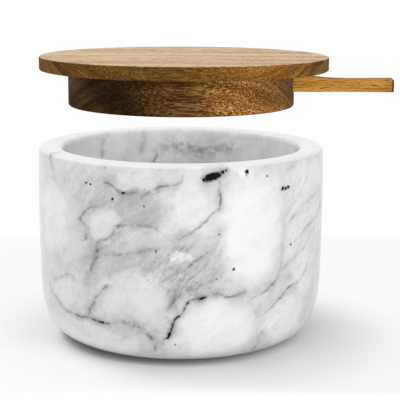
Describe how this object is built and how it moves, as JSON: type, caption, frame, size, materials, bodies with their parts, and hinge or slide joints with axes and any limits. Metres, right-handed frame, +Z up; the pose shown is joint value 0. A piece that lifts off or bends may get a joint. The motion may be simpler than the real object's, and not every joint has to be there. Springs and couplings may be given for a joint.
{
  "type": "salt cellar",
  "caption": "Round stone bowl for salt with a two-step wooden lid and a small carved spoon that slides into a slot under the lid.",
  "frame": {"origin": "on the table plane under the four foot pads, on the bowl's axis", "axes": "+Z up along the bowl's axis, +X towards the end of the spoon's handle, Y across"},
  "size_m": [0.1262, 0.1018, 0.1003],
  "materials": {
    "marble": "polished white marble with grey veins",
    "acacia_disc": "oiled acacia, light brown, fine grain",
    "acacia_plug": "oiled acacia, dark brown, turned side",
    "spoon_wood": "oiled golden wood with small dark flecks",
    "pad_rubber": "matt dark rubber"
  },
  "bodies": {
    "bowl": {"marble_bowl": "marble", "foot_pad_1": "pad_rubber", "foot_pad_2": "pad_rubber", "foot_pad_3": "pad_rubber", "foot_pad_4": "pad_rubber"},
    "lid": {"lid_disc": "acacia_disc", "lid_plug": "acacia_plug"},
    "spoon": {"spoon": "spoon_wood"}
  },
  "joints": [
    {"name": "lid_lift", "type": "slide", "parent": "bowl", "child": "lid", "axis": [0, 0, 1], "range_m": [-0.0189, 0.03]},
    {"name": "spoon_slide", "type": "slide", "parent": "lid", "child": "spoon", "axis": [1, 0, 0], "range_m": [0, 0.055]}
  ]
}
